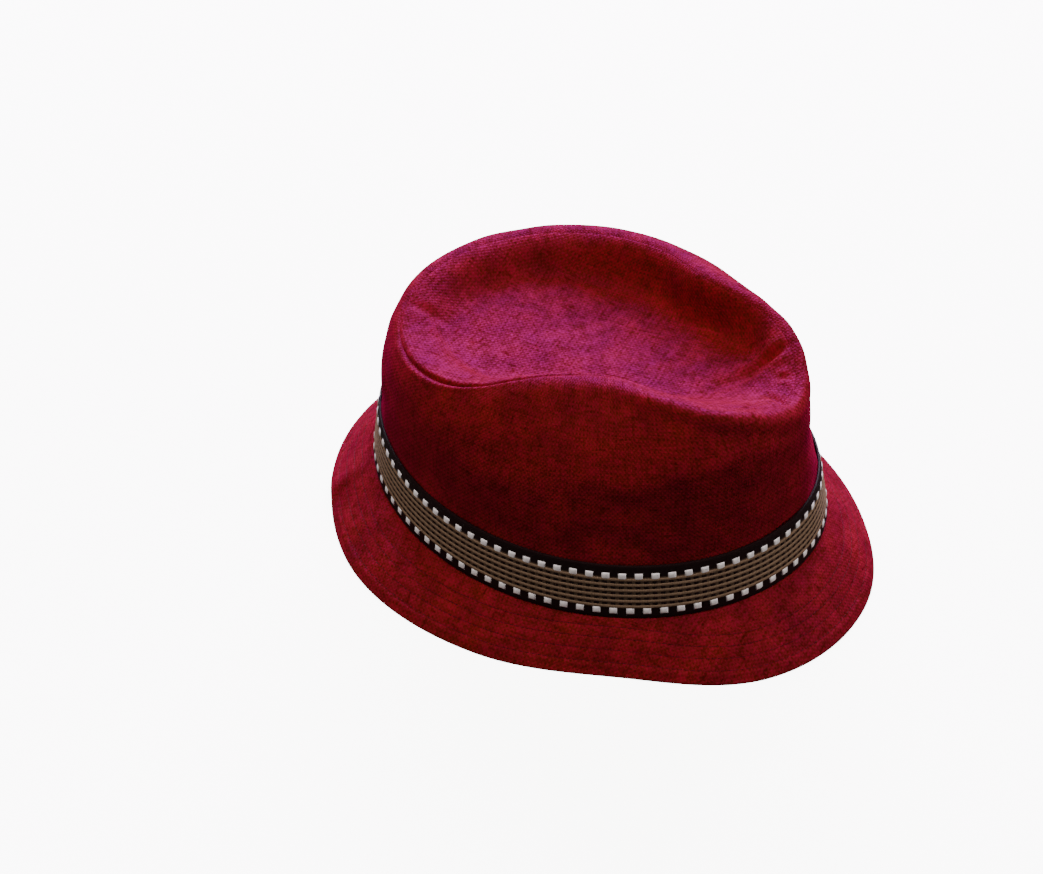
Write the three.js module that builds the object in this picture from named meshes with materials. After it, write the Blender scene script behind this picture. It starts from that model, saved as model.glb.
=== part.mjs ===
// A short-brim cloth trilby that stands on its brim, with its front towards -Y.
// All lengths are millimetres. A turn is an angle from the front towards the wearer's right, which is -X.
import * as THREE from "three";

// Oval at the crown's foot, measured over the ribbon
const footLength = 211.6;
const footWidth = 167;
// Height of that oval above the surface the brim rests on, higher by the sway at front and back
const footRise = 20;
const footSway = 3.35;
// The oval's middle lies this far behind the middle of the brim's outline
const footBehind = 2.389;

// Crown
const crownRise = 95.6;
const crownWall = 1.6;
const ribbonHeight = 27;
const greatestLean = 5.6;
// Height of the dent's middle as a share of the crown's rise
const dentMiddleUp = 0.774;
// How squarely the ridge turns down into the dent, and the dent's side into its floor
const dentRound = 0.72;
// Share of the way from the ridge to the dent's foot at which the tip is sewn on
const tipSeam = 0.14;

// Ribbon, whose end laps over its start between two turns. Its cut ends are ramps a short turn long.
const ribbonThickness = 1;
const lapStart = 252;
const lapEnd = 268;
const lapRamp = 0.4;

// Brim
const brimReach = 26.6;
const brimWall = 2;
const brimBow = 0.22;
const edgeRise = 1.2;
const landInset = 0.4;
const landWidth = 2;
// Lift of the fold below which the edge still lies flat
const leastLift = 0.05;

// Room between neighbouring pieces
const gap = 0.3;
const seamGap = 0.45;

// Sections round the hat
const crownSectionCount = 90;
const brimSectionCount = 96;

// One row per section of the crown. Lean is a share of the greatest lean at the ribbon's top. Each "out"
// is a share of the way from the middle to the foot oval, and each "up" is a share of the crown's rise.
// Round is how squarely the wall turns over to the ridge.
const crownTable = [
  { turn: 0, lean: 0.82, wallOut: 0.919, wallUp: 0.663, crestOut: 0.837, crestUp: 0.862, round: 0.6, dentOut: 0.57, dentUp: 0.774 },
  { turn: 30, lean: 0.64, wallOut: 0.936, wallUp: 0.774, crestOut: 0.751, crestUp: 0.963, round: 0.56, dentOut: 0.6, dentUp: 0.795 },
  { turn: 60, lean: 0.57, wallOut: 0.885, wallUp: 0.58, crestOut: 0.517, crestUp: 0.963, round: 0.3, dentOut: 0.4, dentUp: 0.753 },
  { turn: 90, lean: 0.57, wallOut: 0.922, wallUp: 0.465, crestOut: 0.59, crestUp: 0.945, round: 0.36, dentOut: 0.42, dentUp: 0.743 },
  { turn: 120, lean: 0.57, wallOut: 0.941, wallUp: 0.529, crestOut: 0.788, crestUp: 0.815, round: 0.5, dentOut: 0.5, dentUp: 0.732 },
  { turn: 150, lean: 0.61, wallOut: 0.95, wallUp: 0.483, crestOut: 0.833, crestUp: 0.768, round: 0.56, dentOut: 0.6, dentUp: 0.722 },
  { turn: 180, lean: 0.64, wallOut: 0.921, wallUp: 0.557, crestOut: 0.813, crestUp: 0.832, round: 0.58, dentOut: 0.66, dentUp: 0.732 },
  { turn: 210, lean: 0.61, wallOut: 0.933, wallUp: 0.569, crestOut: 0.781, crestUp: 0.87, round: 0.56, dentOut: 0.6, dentUp: 0.732 },
  { turn: 240, lean: 0.57, wallOut: 0.939, wallUp: 0.529, crestOut: 0.726, crestUp: 0.923, round: 0.52, dentOut: 0.5, dentUp: 0.732 },
  { turn: 270, lean: 0.61, wallOut: 0.928, wallUp: 0.509, crestOut: 0.64, crestUp: 0.973, round: 0.45, dentOut: 0.43, dentUp: 0.732 },
  { turn: 300, lean: 0.79, wallOut: 0.907, wallUp: 0.555, crestOut: 0.559, crestUp: 1, round: 0.45, dentOut: 0.43, dentUp: 0.743 },
  { turn: 330, lean: 1, wallOut: 0.839, wallUp: 0.618, crestOut: 0.778, crestUp: 0.942, round: 0.56, dentOut: 0.64, dentUp: 0.805 },
];

// One row per section of the brim, its reach beyond the foot oval as a share of the greatest reach
const brimTable = [
  { turn: 0, reach: 0.97 },
  { turn: 30, reach: 1 },
  { turn: 60, reach: 0.63 },
  { turn: 90, reach: 0.846 },
  { turn: 120, reach: 0.932 },
  { turn: 150, reach: 0.756 },
  { turn: 180, reach: 0.793 },
  { turn: 210, reach: 0.921 },
  { turn: 240, reach: 0.929 },
  { turn: 270, reach: 0.853 },
  { turn: 300, reach: 0.741 },
  { turn: 330, reach: 0.748 },
];

// The fold that crosses the brim from foot to edge, as a low ridge
const brimFold = { turn: 149.5, halfWidth: 4.5, rise: 2.2 };

// Stations up the crown's outer face, each a leg and how far along it
const sideStations = [
  ["ribbon", 0],
  ["ribbon", 0.5],
  ["wall", 0],
  ["wall", 0.5],
  ["shoulder", 0],
  ["shoulder", 0.25],
  ["shoulder", 0.45],
  ["shoulder", 0.65],
  ["shoulder", 0.83],
  ["inner", 0],
];
const tipStations = [
  ["inner", 0.35],
  ["inner", 0.6],
  ["inner", 0.82],
  ["inner", 1],
  ["floor", 0.3],
  ["floor", 0.62],
];
// Stations across the brim from its edge inwards
const brimStations = [0.14, 0.3, 0.5, 0.7, 0.88, 1];

const radians = (degrees) => (degrees * Math.PI) / 180;
const blend = (from, to, share) => from + (to - from) * share;

// Eased run between two values, leaving and arriving with the given shares of the whole run as handles
function ease(from, to, leaving, arriving, share) {
  const rest = 1 - share;
  const first = blend(from, to, leaving);
  const second = blend(to, from, arriving);
  return from * rest ** 3 + 3 * first * rest * rest * share + 3 * second * rest * share * share + to * share ** 3;
}

// Value of a table's column at any turn, eased through the rows as one closed loop
function columnAt(table, column, turn) {
  const count = table.length;
  const place = ((((turn % 360) + 360) % 360) / 360) * count;
  const row = Math.floor(place) % count;
  const u = place - Math.floor(place);
  const before = table[(row + count - 1) % count][column];
  const here = table[row][column];
  const next = table[(row + 1) % count][column];
  const after = table[(row + 2) % count][column];
  const slope = next - before;
  const bend = 2 * before - 5 * here + 4 * next - after;
  const twist = 3 * here - before - 3 * next + after;
  return here + 0.5 * (slope * u + bend * u * u + twist * u * u * u);
}

// Point of the foot oval moved out by a plan distance square to it
function footPoint(turn, outwards = 0) {
  const a = radians(turn);
  const across = new THREE.Vector2(-Math.sin(a) * footLength, -Math.cos(a) * footWidth).normalize();
  const x = (-Math.sin(a) * footWidth) / 2 + across.x * outwards;
  const y = (-Math.cos(a) * footLength) / 2 + across.y * outwards;
  return new THREE.Vector2(x, y);
}

const footHeight = (turn) => footRise + footSway * Math.cos(2 * radians(turn));

// Point on the crown's outer face
function crownPoint(turn, leg, share) {
  const value = (column) => columnAt(crownTable, column, turn);
  const foot = footPoint(turn);
  const radius = foot.length();
  const clothInset = ribbonThickness + gap;
  const footOut = 1 - clothInset / radius;
  const ribbonOut = 1 - (clothInset + value("lean") * greatestLean) / radius;
  const ribbonTop = footHeight(turn) + ribbonHeight;
  const wallTop = footRise + value("wallUp") * crownRise;
  const crest = footRise + value("crestUp") * crownRise;
  const dentFoot = footRise + value("dentUp") * crownRise;
  let out = 0;
  let z = 0;
  if (leg === "ribbon") {
    out = blend(footOut, ribbonOut, share);
    z = blend(footHeight(turn) + gap, ribbonTop, share);
  } else if (leg === "wall") {
    out = blend(ribbonOut, value("wallOut"), share);
    z = blend(ribbonTop, wallTop, share);
  } else if (leg === "shoulder") {
    const round = value("round");
    out = ease(value("wallOut"), value("crestOut"), 0, round, share);
    z = ease(wallTop, crest, round, 0, share);
  } else if (leg === "inner") {
    out = ease(value("crestOut"), value("dentOut"), dentRound, dentRound, share);
    z = ease(crest, dentFoot, 0, 0, share);
  } else {
    out = value("dentOut") * (1 - share);
    z = blend(dentFoot, footRise + dentMiddleUp * crownRise, 1 - (1 - share) ** 2);
  }
  return new THREE.Vector3(foot.x * out, foot.y * out, z);
}

// Point on the brim's upper face, by its share of the way from the edge to the foot
function brimPoint(turn, inwards) {
  const share = 1 - inwards;
  const reach = columnAt(brimTable, "reach", turn) * brimReach;
  const plan = footPoint(turn, reach * share);
  const fall = (footHeight(turn) - edgeRise) * (share - brimBow * share * inwards);
  return new THREE.Vector3(plan.x, plan.y, footHeight(turn) - fall + foldRise(turn, share));
}

function foldRise(turn, share) {
  const away = (turn - brimFold.turn) / brimFold.halfWidth;
  return brimFold.rise * share * Math.exp(-away * away);
}

const evenTurns = (count) => Array.from({ length: count }, (_, i) => (360 * i) / count);

// A ring of points on a face and the same ring moved in by a wall thickness, square to the face
function pairedRings(turns, pointAt, share, thickness) {
  const turnStep = 0.2;
  const shareStep = 0.01;
  const low = Math.max(share - shareStep, 0);
  const high = Math.min(share + shareStep, 1);
  const outer = turns.map((turn) => pointAt(turn, share));
  const inner = turns.map((turn, i) => {
    const around = new THREE.Vector3().subVectors(pointAt(turn + turnStep, share), pointAt(turn - turnStep, share));
    const along = new THREE.Vector3().subVectors(pointAt(turn, high), pointAt(turn, low));
    const outwards = new THREE.Vector3().crossVectors(along, around).normalize();
    return outer[i].clone().addScaledVector(outwards, -thickness);
  });
  return { outer, inner };
}

// Closed mesh from rings in order round its section. A loop joins its last ring to its first, and
// otherwise each end is drawn together at a middle point.
function ringSolid(rings, loop, firstPole, lastPole) {
  const positions = [];
  const faces = [];
  const count = rings[0].length;
  rings.forEach((ring) => ring.forEach((p) => positions.push(p.x, p.y, p.z)));
  const bands = loop ? rings.length : rings.length - 1;
  for (let r = 0; r < bands; r += 1) {
    const lower = r * count;
    const upper = ((r + 1) % rings.length) * count;
    for (let i = 0; i < count; i += 1) {
      const j = (i + 1) % count;
      faces.push(lower + i, upper + i, lower + j);
      faces.push(lower + j, upper + i, upper + j);
    }
  }
  if (!loop) {
    const first = rings.length * count;
    positions.push(firstPole.x, firstPole.y, firstPole.z, lastPole.x, lastPole.y, lastPole.z);
    const last = (rings.length - 1) * count;
    for (let i = 0; i < count; i += 1) {
      const j = (i + 1) % count;
      faces.push(first, i, j);
      faces.push(first + 1, last + j, last + i);
    }
  }
  const geometry = new THREE.BufferGeometry();
  geometry.setAttribute("position", new THREE.Float32BufferAttribute(positions, 3));
  geometry.setIndex(faces);
  geometry.computeVertexNormals();
  return geometry;
}

const crownTurns = evenTurns(crownSectionCount);

function crownPair(leg, share) {
  return pairedRings(crownTurns, (turn, s) => crownPoint(turn, leg, s), share, crownWall);
}

function crownSideGeometry() {
  const pairs = [...sideStations, ["inner", tipSeam]].map(([leg, share]) => crownPair(leg, share));
  const outer = pairs.map((pair) => pair.outer);
  const inner = pairs.map((pair) => pair.inner);
  inner[0].forEach((point, i) => point.setZ(outer[0][i].z));
  return ringSolid([...outer, ...inner.reverse()], true);
}

// Point on the tip's outer face just inside the ridge, one seam gap beyond the side panel's edge
function tipEdgePoint(turn, extra) {
  const step = 0.01;
  const here = crownPoint(turn, "inner", tipSeam);
  const pace = here.distanceTo(crownPoint(turn, "inner", tipSeam + step)) / step;
  return crownPoint(turn, "inner", tipSeam + seamGap / pace + extra);
}

function crownTipGeometry() {
  const start = pairedRings(crownTurns, tipEdgePoint, 0, crownWall);
  const pairs = [start, ...tipStations.map(([leg, share]) => crownPair(leg, share))];
  const outer = pairs.map((pair) => pair.outer);
  const inner = pairs.map((pair) => pair.inner);
  const middle = new THREE.Vector3(0, 0, footRise + dentMiddleUp * crownRise);
  const under = new THREE.Vector3(0, 0, middle.z - crownWall);
  return ringSolid([...inner.reverse(), ...outer], false, under, middle);
}

function brimGeometry() {
  const turns = evenTurns(brimSectionCount);
  const marginInset = ribbonThickness + gap + crownWall;
  const margin = (depth) =>
    turns.map((turn) => {
      const plan = footPoint(turn, -marginInset);
      return new THREE.Vector3(plan.x, plan.y, footHeight(turn) - depth);
    });
  const pairs = brimStations.map((share) => pairedRings(turns, brimPoint, share, brimWall));
  const edge = turns.map((turn) => brimPoint(turn, 0));
  const land = (inset) =>
    turns.map((turn) => {
      const plan = footPoint(turn, columnAt(brimTable, "reach", turn) * brimReach - inset);
      return new THREE.Vector3(plan.x, plan.y, foldRise(turn, 1) < leastLift ? 0 : foldRise(turn, 1));
    });
  const top = [edge, ...pairs.map((pair) => pair.outer), margin(0)];
  const under = [land(landInset), land(landInset + landWidth), ...pairs.map((pair) => pair.inner), margin(brimWall)];
  return ringSolid([...top, ...under.reverse()], true);
}

function hatBandGeometry() {
  const turns = [...crownTurns, lapStart - lapRamp, lapEnd + lapRamp].sort((a, b) => a - b);
  const lapped = (turn) => turn >= lapStart && turn <= lapEnd;
  const ring = (share, depth) =>
    turns.map((turn) => {
      const foot = footPoint(turn);
      const lean = columnAt(crownTable, "lean", turn) * greatestLean * share;
      const build = lapped(turn) ? ribbonThickness : 0;
      const inset = depth > 0 ? depth : -build;
      const out = 1 - (lean + inset) / foot.length();
      const z = blend(footHeight(turn) + gap, footHeight(turn) + ribbonHeight, share);
      return new THREE.Vector3(foot.x * out, foot.y * out, z);
    });
  const outer = [ring(0, 0), ring(0.5, 0), ring(1, 0)];
  const inner = [ring(1, ribbonThickness), ring(0.5, ribbonThickness), ring(0, ribbonThickness)];
  return ringSolid([...outer, ...inner], true);
}

function piece(name, geometry, color, roughness) {
  geometry.translate(0, footBehind, 0);
  const material = new THREE.MeshStandardMaterial({ color, roughness, metalness: 0 });
  const mesh = new THREE.Mesh(geometry, material);
  mesh.name = name;
  return mesh;
}

const hat = new THREE.Group();
hat.name = "hat";
hat.add(piece("crown_side", crownSideGeometry(), "#7a1526", 0.85));
hat.add(piece("crown_tip", crownTipGeometry(), "#8c1a3a", 0.85));
hat.add(piece("brim", brimGeometry(), "#7a1526", 0.85));
hat.add(piece("hat_band", hatBandGeometry(), "#7d6650", 0.75));

export default hat;
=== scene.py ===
"""A short-brim cloth trilby with a patterned woven ribbon, resting on a pale floor.

The cloth follows the same sizes and tables as the part's solids. Lengths in the tables and the
sizes are millimetres, and every mesh is in metres. A turn is an angle from the front, -Y, towards
the wearer's right, -X.
"""
import math

import bpy
import numpy as np
from bpy.props import FloatProperty, FloatVectorProperty, IntProperty, PointerProperty
from mathutils import Matrix, Vector


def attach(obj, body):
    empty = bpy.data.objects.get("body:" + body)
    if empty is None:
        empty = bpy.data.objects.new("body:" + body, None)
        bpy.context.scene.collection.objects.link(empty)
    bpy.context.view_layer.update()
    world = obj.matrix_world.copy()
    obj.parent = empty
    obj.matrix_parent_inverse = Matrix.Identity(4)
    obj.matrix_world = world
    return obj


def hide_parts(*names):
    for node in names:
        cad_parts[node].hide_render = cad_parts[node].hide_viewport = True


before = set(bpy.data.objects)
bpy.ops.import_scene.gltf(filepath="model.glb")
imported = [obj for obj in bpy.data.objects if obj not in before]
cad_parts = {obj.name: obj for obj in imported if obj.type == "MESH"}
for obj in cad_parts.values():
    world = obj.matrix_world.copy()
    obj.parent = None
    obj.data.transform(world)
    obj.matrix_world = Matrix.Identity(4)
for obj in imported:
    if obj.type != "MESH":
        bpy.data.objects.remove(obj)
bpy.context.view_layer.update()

bl_info = {
    "name": "Cloth trilby",
    "version": (1, 0, 0),
    "blender": (4, 5, 0),
    "location": "3D View > Sidebar > Hat",
    "description": "Builds a short-brim cloth trilby with a patterned ribbon",
    "category": "Object",
}

MM = 0.001

# Sizes that the solids share
FOOT_LENGTH = 211.6
FOOT_WIDTH = 167.0
FOOT_RISE = 20.0
FOOT_SWAY = 3.35
FOOT_BEHIND = 2.389
CROWN_RISE = 95.6
CROWN_WALL = 1.6
GREATEST_LEAN = 5.6
DENT_MIDDLE_UP = 0.725
RIBBON_THICKNESS = 1.0
RIBBON_HEIGHT = 27.0
LAP_START = 252.0
LAP_END = 268.0
BRIM_REACH = 26.6
BRIM_WALL = 2.0
BRIM_BOW = 0.22
EDGE_RISE = 1.2
GAP = 0.3

# One row per section of the crown, in shares of the sizes above, as the solids have them but with a
# deeper dent. Seam is how many millimetres inside the ridge the tip is sewn on, groove how deep the
# seam sinks there, and roll how far the cloth swells below the ridge.
CROWN_COLUMNS = (
    "turn", "lean", "wall_out", "wall_up", "crest_out", "crest_up", "round",
    "dent_out", "dent_up", "dent_round", "seam", "groove", "roll",
)
CROWN_ROWS = (
    (0, 0.82, 0.919, 0.663, 0.87, 0.862, 0.36, 0.45, 0.752, 0.4, 3.0, 0.12, 1.5),
    (30, 0.64, 0.936, 0.774, 0.81, 0.963, 0.34, 0.3, 0.735, 0.36, 5.5, 0.12, 2.3),
    (60, 0.57, 0.885, 0.58, 0.535, 0.963, 0.34, 0.24, 0.715, 0.55, 3.5, 0.5, 1.2),
    (90, 0.57, 0.922, 0.465, 0.595, 0.945, 0.36, 0.32, 0.71, 0.72, 1.5, 1.3, 0.3),
    (120, 0.57, 0.941, 0.529, 0.788, 0.815, 0.5, 0.42, 0.71, 0.72, -4.0, 2.1, 0.0),
    (150, 0.61, 0.95, 0.483, 0.833, 0.768, 0.56, 0.54, 0.715, 0.6, -4.0, 0.5, 0.0),
    (180, 0.64, 0.921, 0.557, 0.813, 0.832, 0.58, 0.58, 0.73, 0.5, 0.0, 0.25, 0.0),
    (210, 0.61, 0.933, 0.569, 0.781, 0.87, 0.56, 0.5, 0.745, 0.6, 1.5, 0.15, 0.0),
    (240, 0.57, 0.939, 0.529, 0.726, 0.923, 0.52, 0.46, 0.752, 0.66, 2.0, 0.15, 0.0),
    (270, 0.61, 0.928, 0.509, 0.64, 0.973, 0.45, 0.42, 0.755, 0.68, 2.0, 0.15, 0.0),
    (300, 0.79, 0.907, 0.555, 0.559, 1.0, 0.45, 0.42, 0.76, 0.68, 2.5, 0.15, 0.0),
    (330, 1.0, 0.839, 0.618, 0.778, 0.942, 0.56, 0.54, 0.785, 0.6, 3.0, 0.12, 0.3),
)
BRIM_COLUMNS = ("turn", "reach")
BRIM_ROWS = (
    (0, 0.97), (30, 1.0), (60, 0.63), (90, 0.846), (120, 0.932), (150, 0.756),
    (180, 0.793), (210, 0.921), (240, 0.929), (270, 0.853), (300, 0.741), (330, 0.748),
)
# The brim's one radial fold is steep towards the front and gentle towards the back, in degrees
FOLD_TURN = 149.5
FOLD_NEAR_WIDTH = 2.3
FOLD_FAR_WIDTH = 7.0
FOLD_RISE = 3.0

# Short creases in the top of the crown. Columns: start and end as seen from above, depth, half width
CREASE_ROWS = (
    ((23.9, -74.3), (16.7, -67.2), 2.0, 2.0),
    ((18.0, -68.5), (8.6, -61.4), 1.7, 2.6),
    ((10.0, -62.5), (-3.0, -54.5), 0.9, 3.0),
    ((-1.0, -78.0), (-7.6, -89.5), 1.2, 1.3),
    ((-27.1, -79.3), (-6.0, -76.2), 0.7, 1.0),
    ((-24.7, -82.4), (-12.0, -80.3), 0.6, 0.9),
    ((9.0, -78.2), (11.6, -82.0), 0.9, 1.4),
    ((-19.0, 83.5), (-18.0, 68.0), 0.8, 2.2),
)
# Where the face's normal turns upward enough for creases, and how far along its arch one begins
CREASE_UPWARD = (0.25, 0.6)
CREASE_START = 0.12
# The low ridge beside a crease: its share of the depth, and its place and width in half widths
SIDE_RIDGE = 0.35
SIDE_RIDGE_AWAY = 2.2
SIDE_RIDGE_WIDTH = 0.9


def linear(hex_colour):
    """Turns an sRGB hex colour into linear values with full alpha."""
    parts = [int(hex_colour[i:i + 2], 16) / 255 for i in (1, 3, 5)]
    return [c / 12.92 if c <= 0.04045 else ((c + 0.055) / 1.055) ** 2.4 for c in parts] + [1.0]


def length_property(name, description, length, least, most):
    """A length in metres, given in millimetres."""
    return FloatProperty(
        name=name, description=description, default=length * MM, min=least * MM, max=most * MM,
        subtype="DISTANCE", unit="LENGTH",
    )


def colour_property(name, description, hex_colour):
    return FloatVectorProperty(
        name=name, description=description, subtype="COLOR", size=4, min=0, max=1,
        default=linear(hex_colour),
    )


class HatSizes(bpy.types.PropertyGroup):
    thread_pitch: length_property(
        "Thread pitch", "Spacing of the cloth's threads, drawn coarse enough to show", 1.05, 0.3, 3,
    )
    stitch_length: length_property(
        "Stitch length", "Length of one stitch of the brim's topstitching", 2.6, 1, 6,
    )
    stitch_row_spacing: length_property(
        "Stitch row spacing", "Room between neighbouring rows of topstitching", 5, 2, 12,
    )
    stitch_rows: IntProperty(
        name="Stitch rows", description="Rows of topstitching round the brim", default=4, min=1, max=6,
    )
    square_pitch: length_property(
        "Square pitch", "Room along the ribbon from one light square to the next", 7.1, 3, 20,
    )


class HatColours(bpy.types.PropertyGroup):
    warp: colour_property("Warp", "Brighter thread of the two-tone cloth", "#7C161C")
    weft: colour_property("Weft", "Deeper thread of the two-tone cloth", "#461304")
    fleck: colour_property("Fleck", "Dark slubs and flecks in the cloth", "#180304")
    ribbon_dark: colour_property("Ribbon ground", "Near-black ground of the ribbon", "#170B0E")
    ribbon_light: colour_property("Ribbon squares", "Light squares of the ribbon", "#FFFCFF")
    ribbon_tan: colour_property("Ribbon ribs", "Tan ribs of the ribbon", "#8A7462")
    floor: colour_property("Floor", "Plain pale floor", "#F4F4F2")


def column(columns, rows, name, turns):
    """Value of a table's column at any turns, eased through the rows as one closed loop."""
    values = np.array([row[columns.index(name)] for row in rows], float)
    count = len(values)
    place = np.mod(turns, 360.0) / 360.0 * count
    row = np.floor(place).astype(int) % count
    u = place - np.floor(place)
    before, here = values[row - 1], values[row]
    after, last = values[(row + 1) % count], values[(row + 2) % count]
    bend = 2 * before - 5 * here + 4 * after - last
    twist = 3 * here - before - 3 * after + last
    return here + 0.5 * ((after - before) * u + bend * u**2 + twist * u**3)


def ease(start, stop, leaving, arriving, share):
    """Eased run between two values, with the given shares of the whole run as handles."""
    rest = 1 - share
    first = start + (stop - start) * leaving
    second = stop + (start - stop) * arriving
    handles = 3 * first * rest**2 * share + 3 * second * rest * share**2
    return start * rest**3 + handles + stop * share**3


def blend(start, stop, share):
    return start + (stop - start) * share


def smooth_step(low, high, value):
    t = np.clip((value - low) / (high - low), 0, 1)
    return t * t * (3 - 2 * t)


def foot(turns, outwards=0.0):
    """Plan points of the foot oval, moved out square to it."""
    a = np.radians(turns)
    across = np.stack([-np.sin(a) * FOOT_LENGTH, -np.cos(a) * FOOT_WIDTH], -1)
    across /= np.linalg.norm(across, axis=-1, keepdims=True)
    middle = np.stack([-np.sin(a) * FOOT_WIDTH / 2, -np.cos(a) * FOOT_LENGTH / 2], -1)
    return middle + across * np.asarray(outwards)[..., None]


def foot_height(turns):
    return FOOT_RISE + FOOT_SWAY * np.cos(2 * np.radians(turns))


def crown(turns, path):
    """Points of the crown's outer face. The path runs up the ribbon from -2 to -1, up the wall to 0,
    over the shoulder to 1, down into the dent to 2 and across its floor to 3."""
    value = {name: column(CROWN_COLUMNS, CROWN_ROWS, name, turns) for name in CROWN_COLUMNS[1:]}
    plan = foot(turns)
    radius = np.linalg.norm(plan, axis=-1)
    inset = RIBBON_THICKNESS + GAP
    foot_out = 1 - inset / radius
    ribbon_out = 1 - (inset + value["lean"] * GREATEST_LEAN) / radius
    low = foot_height(turns) + GAP
    ribbon_top = foot_height(turns) + RIBBON_HEIGHT
    wall_top = FOOT_RISE + value["wall_up"] * CROWN_RISE
    crest = FOOT_RISE + value["crest_up"] * CROWN_RISE
    dent = FOOT_RISE + value["dent_up"] * CROWN_RISE
    s = path - np.floor(np.minimum(path, 2.9999))
    legs = [path < -1, path < 0, path < 1, path < 2]
    out = np.select(legs, [
        blend(foot_out, ribbon_out, s),
        blend(ribbon_out, value["wall_out"], s),
        ease(value["wall_out"], value["crest_out"], 0, value["round"], s),
        ease(value["crest_out"], value["dent_out"], value["dent_round"], value["dent_round"], s),
    ], value["dent_out"] * (1 - s))
    z = np.select(legs, [
        blend(low, ribbon_top, s),
        blend(ribbon_top, wall_top, s),
        ease(wall_top, crest, value["round"], 0, s),
        ease(crest, dent, 0, 0, s),
    ], blend(dent, FOOT_RISE + DENT_MIDDLE_UP * CROWN_RISE, 1 - (1 - s) ** 2))
    return np.stack([plan[..., 0] * out, plan[..., 1] * out, z], -1)


def brim(turns, share):
    """Points of the brim's upper face, by the share of the way from the foot to the edge."""
    reach = column(BRIM_COLUMNS, BRIM_ROWS, "reach", turns) * BRIM_REACH
    plan = foot(turns, reach * share)
    fall = (foot_height(turns) - EDGE_RISE) * (share - BRIM_BOW * share * (1 - share))
    away = np.mod(turns, 360) - FOLD_TURN
    away = away / np.where(away < 0, FOLD_NEAR_WIDTH, FOLD_FAR_WIDTH)
    fold = FOLD_RISE * np.clip(share, 0, 1) * np.exp(-away * away)
    return np.concatenate([plan, (foot_height(turns) - fall + fold)[..., None]], -1)


# Gentle unevenness of the cloth. Columns: height, wavelength, seed
CROWN_UNEVENNESS = ((0.28, 34, 5), (0.14, 15, 8))
BRIM_UNEVENNESS = ((0.25, 40, 21), (0.12, 16, 22))
CROSSING_WAVES = 14


def undulation(points, wavelength, seed):
    """Crossing waves of about the given wavelength, mostly between -1 and 1."""
    draw = np.random.default_rng(seed)
    total = np.zeros(points.shape[:-1])
    for _ in range(CROSSING_WAVES):
        direction = draw.normal(size=3)
        direction *= 2 * math.pi / (wavelength * draw.uniform(0.7, 1.6) * np.linalg.norm(direction))
        total += np.sin(points @ direction + draw.uniform(0, 2 * math.pi))
    return total / math.sqrt(CROSSING_WAVES)


def unevenness(points, rows):
    return sum(height * undulation(points, wavelength, seed) for height, wavelength, seed in rows)


def normals_of(grid):
    """Outward unit normals of a grid whose rows run up the face and whose columns run round it."""
    around = np.roll(grid, -1, axis=1) - np.roll(grid, 1, axis=1)
    along = np.gradient(grid, axis=0)
    across = np.cross(along, around)
    length = np.linalg.norm(across, axis=-1, keepdims=True)
    return across / np.maximum(length, 1e-9)


def softened(grid, passes):
    """Evens out a grid's corners along its columns, with its first and last rows held."""
    for _ in range(passes):
        grid[1:-1] = 0.25 * grid[:-2] + 0.5 * grid[1:-1] + 0.25 * grid[2:]
    return grid


def along_columns(values, lengths, wanted):
    """Values of a grid at the wanted lengths along each of its columns."""
    made = np.empty(wanted.shape + values.shape[2:])
    for c in range(values.shape[1]):
        for k in range(values.shape[2]):
            made[:, c, k] = np.interp(wanted[:, c], lengths[:, c], values[:, c, k])
    return made


def creased(points, normals):
    """Sinks short creases into the upward faces near them, with a low ridge along each side."""
    plan = points[..., :2]
    upward = smooth_step(*CREASE_UPWARD, normals[..., 2])
    for start, end, depth, half_width in CREASE_ROWS:
        run = np.subtract(end, start)
        share = np.clip((plan - start) @ run / (run @ run), 0, 1)
        away = np.linalg.norm(plan - (start + share[..., None] * run), axis=-1) / half_width
        arch = np.sin(math.pi * blend(CREASE_START, 1 - CREASE_START, share))
        beside = SIDE_RIDGE * np.exp(-((away - SIDE_RIDGE_AWAY) / SIDE_RIDGE_WIDTH) ** 2)
        sunk = np.exp(-away**2) * arch - beside * np.sin(math.pi * share)
        points = points - normals * (depth * upward * sunk)[..., None]
    return points


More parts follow.
